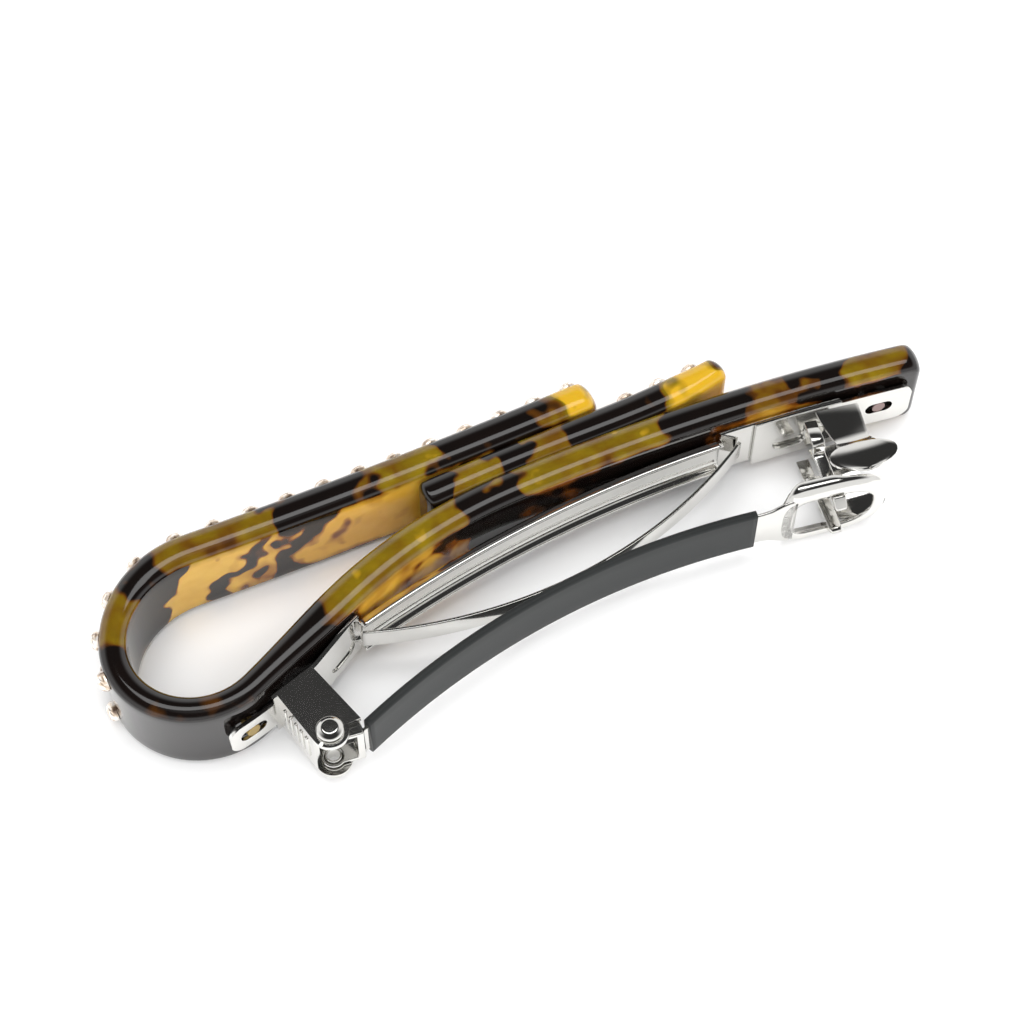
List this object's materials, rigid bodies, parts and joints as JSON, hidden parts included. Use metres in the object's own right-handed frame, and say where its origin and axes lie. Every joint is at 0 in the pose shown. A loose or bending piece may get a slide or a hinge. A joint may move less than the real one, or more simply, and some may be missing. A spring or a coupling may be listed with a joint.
{
  "type": "barrette",
  "caption": "Folded tortoiseshell acetate barrette with two rows of set stones and a hinged French clip: black-sleeved arm, bow spring and squeeze latch.",
  "frame": {"origin": "on the long edge it rests on, under the middle strip, at the middle of the barrette's length", "axes": "+X along the length from the loop to the tips, -Y towards the clip, +Y towards the stones, +Z across the strip's width"},
  "size_m": [0.0866, 0.0299, 0.009],
  "materials": {
    "tortoiseshell": "polished",
    "crystal": "polished",
    "nickel": "polished",
    "black_sleeve": "satin"
  },
  "bodies": {
    "barrette": {"loop_strip": "tortoiseshell", "middle_strip": "tortoiseshell", "stones_outer_upper": "crystal", "stones_outer_lower": "crystal", "stones_middle_upper": "crystal", "stones_middle_lower": "crystal", "clip_base": "nickel", "tongue_rivet_left": "nickel", "tongue_rivet_right": "nickel", "hinge_rivet_upper": "nickel", "hinge_eyelet_lower": "nickel", "tension_spring": "nickel", "latch_foot": "nickel", "latch_foot_rivet": "nickel"},
    "arm": {"arm_core": "nickel", "arm_sleeve": "black_sleeve"},
    "upper_latch": {"latch_lever_upper": "nickel"},
    "lower_latch": {"latch_lever_lower": "nickel"}
  },
  "joints": [
    {"name": "arm_hinge", "type": "hinge", "parent": "barrette", "child": "arm", "pos_m": [-0.0286, -0.0161, 0.0045], "axis": [0, 0, 1], "range_deg": [-100, 0]},
    {"name": "upper_latch_flex", "type": "hinge", "parent": "barrette", "child": "upper_latch", "pos_m": [0.02981, -0.00971, 0.00797], "axis": [0.9655, -0.2605, 0], "range_deg": [0, 1.8], "stiffness_Nm_per_rad": 0.02},
    {"name": "lower_latch_flex", "type": "hinge", "parent": "barrette", "child": "lower_latch", "pos_m": [0.02981, -0.00971, 0.00103], "axis": [-0.9655, 0.2605, 0], "range_deg": [0, 1.8], "stiffness_Nm_per_rad": 0.02}
  ]
}
